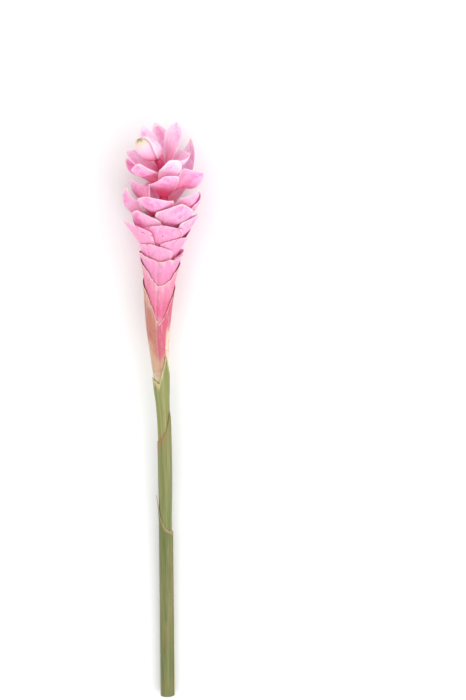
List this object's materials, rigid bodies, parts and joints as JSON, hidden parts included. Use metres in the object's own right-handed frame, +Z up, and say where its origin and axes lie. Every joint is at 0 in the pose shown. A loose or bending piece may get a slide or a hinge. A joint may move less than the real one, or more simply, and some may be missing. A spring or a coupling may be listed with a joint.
{
  "type": "cut pink ginger flower",
  "caption": "Cut pink ginger flower lying on its side: a straight green sheathed stem with a cone-shaped head of overlapping pink bracts.",
  "frame": {"origin": "centre of the flower's outline on the surface it lies on, halfway along its length", "axes": "+Y along the stem from the cut end to the flower head, +Z up from the surface, +X to the right seen from above"},
  "size_m": [0.0977, 0.7092, 0.0889],
  "materials": {
    "stem_skin": "smooth green plant skin with a soft shine",
    "leaf_sheath_skin": "fibrous yellow-green leaf base with fine lengthwise ribs",
    "sheath_bract_skin": "waxy peach to pink bract with cream dried margin",
    "low_bract_skin": "waxy mid pink bract with fine veins and dried margin",
    "open_bract_skin": "waxy pale pink bract, deeper pink at its foot, fine lengthwise veins",
    "bud_skin": "smooth pale pink bud with a cream-green tip"
  },
  "bodies": {
    "root": {"stem": "stem_skin", "leaf_sheath_lower": "leaf_sheath_skin", "leaf_sheath_middle": "leaf_sheath_skin", "leaf_sheath_upper": "leaf_sheath_skin", "sheath_bract_peach": "sheath_bract_skin", "sheath_bract_pink": "sheath_bract_skin", "sheath_bract_upper": "sheath_bract_skin", "bract_01": "low_bract_skin", "bract_02": "low_bract_skin", "bract_03": "low_bract_skin", "bract_04": "low_bract_skin", "bract_05": "low_bract_skin", "bract_06": "low_bract_skin", "bract_07": "low_bract_skin", "bract_08": "open_bract_skin", "bract_09": "open_bract_skin", "bract_10": "open_bract_skin", "bract_11": "open_bract_skin", "bract_12": "open_bract_skin", "bract_13": "open_bract_skin", "bract_14": "open_bract_skin", "bract_15": "open_bract_skin", "bract_16": "open_bract_skin", "bract_17": "open_bract_skin", "bract_18": "open_bract_skin", "bract_19": "open_bract_skin", "bract_20": "open_bract_skin", "bract_21": "open_bract_skin", "bract_22": "open_bract_skin", "bract_23": "open_bract_skin", "bract_24": "open_bract_skin", "bract_25": "open_bract_skin", "bract_26": "open_bract_skin", "bract_27": "open_bract_skin", "bract_28": "open_bract_skin", "bract_29": "open_bract_skin", "terminal_bud": "bud_skin", "bud_wrap": "bud_skin"}
  },
  "joints": []
}
